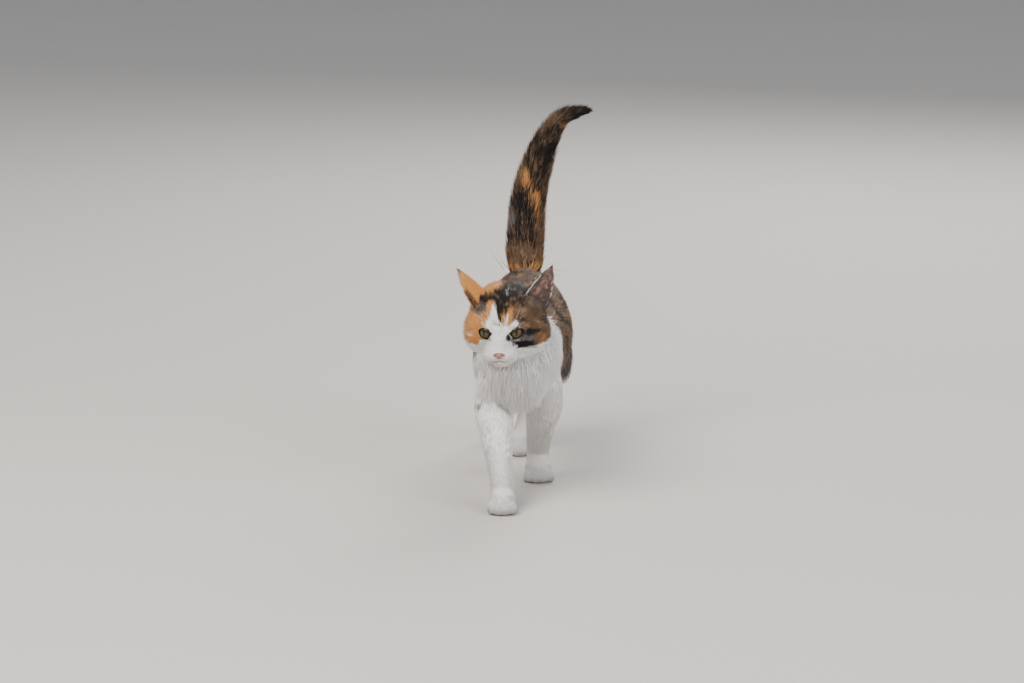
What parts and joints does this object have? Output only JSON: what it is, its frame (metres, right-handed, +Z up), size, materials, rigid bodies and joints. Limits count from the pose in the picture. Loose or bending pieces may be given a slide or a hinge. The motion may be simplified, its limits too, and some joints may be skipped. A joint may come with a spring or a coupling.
{
  "type": "young calico cat, walking, still model",
  "caption": "Young semi-long-haired calico cat walking with its tail raised, a still life-size model standing on four paws.",
  "frame": {"origin": "middle of the model's box in X and Y, on the floor under its paws", "axes": "+Z up, the cat walks towards -Y, +X to the cat's left"},
  "size_m": [0.138, 0.3706, 0.3736],
  "materials": {
    "coat_calico": "soft semi-long coat, white with orange and dark brown-black patches",
    "eye": "glossy amber-olive with an upright pupil",
    "nose_leather": "bare brownish-pink skin, slightly moist",
    "skin": "bare pink skin inside the ears and at the lids",
    "whisker": "fine white whiskers"
  },
  "bodies": {
    "root": {"head": "coat_calico", "ear_left": "coat_calico", "ear_right": "coat_calico", "eye_left": "eye", "eye_right": "eye", "nose": "nose_leather", "neck": "coat_calico", "torso_front": "coat_calico", "torso_rear": "coat_calico", "foreleg_left": "coat_calico", "foreleg_right": "coat_calico", "forepaw_left": "coat_calico", "forepaw_right": "coat_calico", "thigh_left": "coat_calico", "thigh_right": "coat_calico", "shank_left": "coat_calico", "shank_right": "coat_calico", "hindpaw_left": "coat_calico", "hindpaw_right": "coat_calico", "tail_base": "coat_calico", "tail_middle": "coat_calico", "tail_upper": "coat_calico", "tail_tip": "coat_calico"}
  },
  "joints": []
}
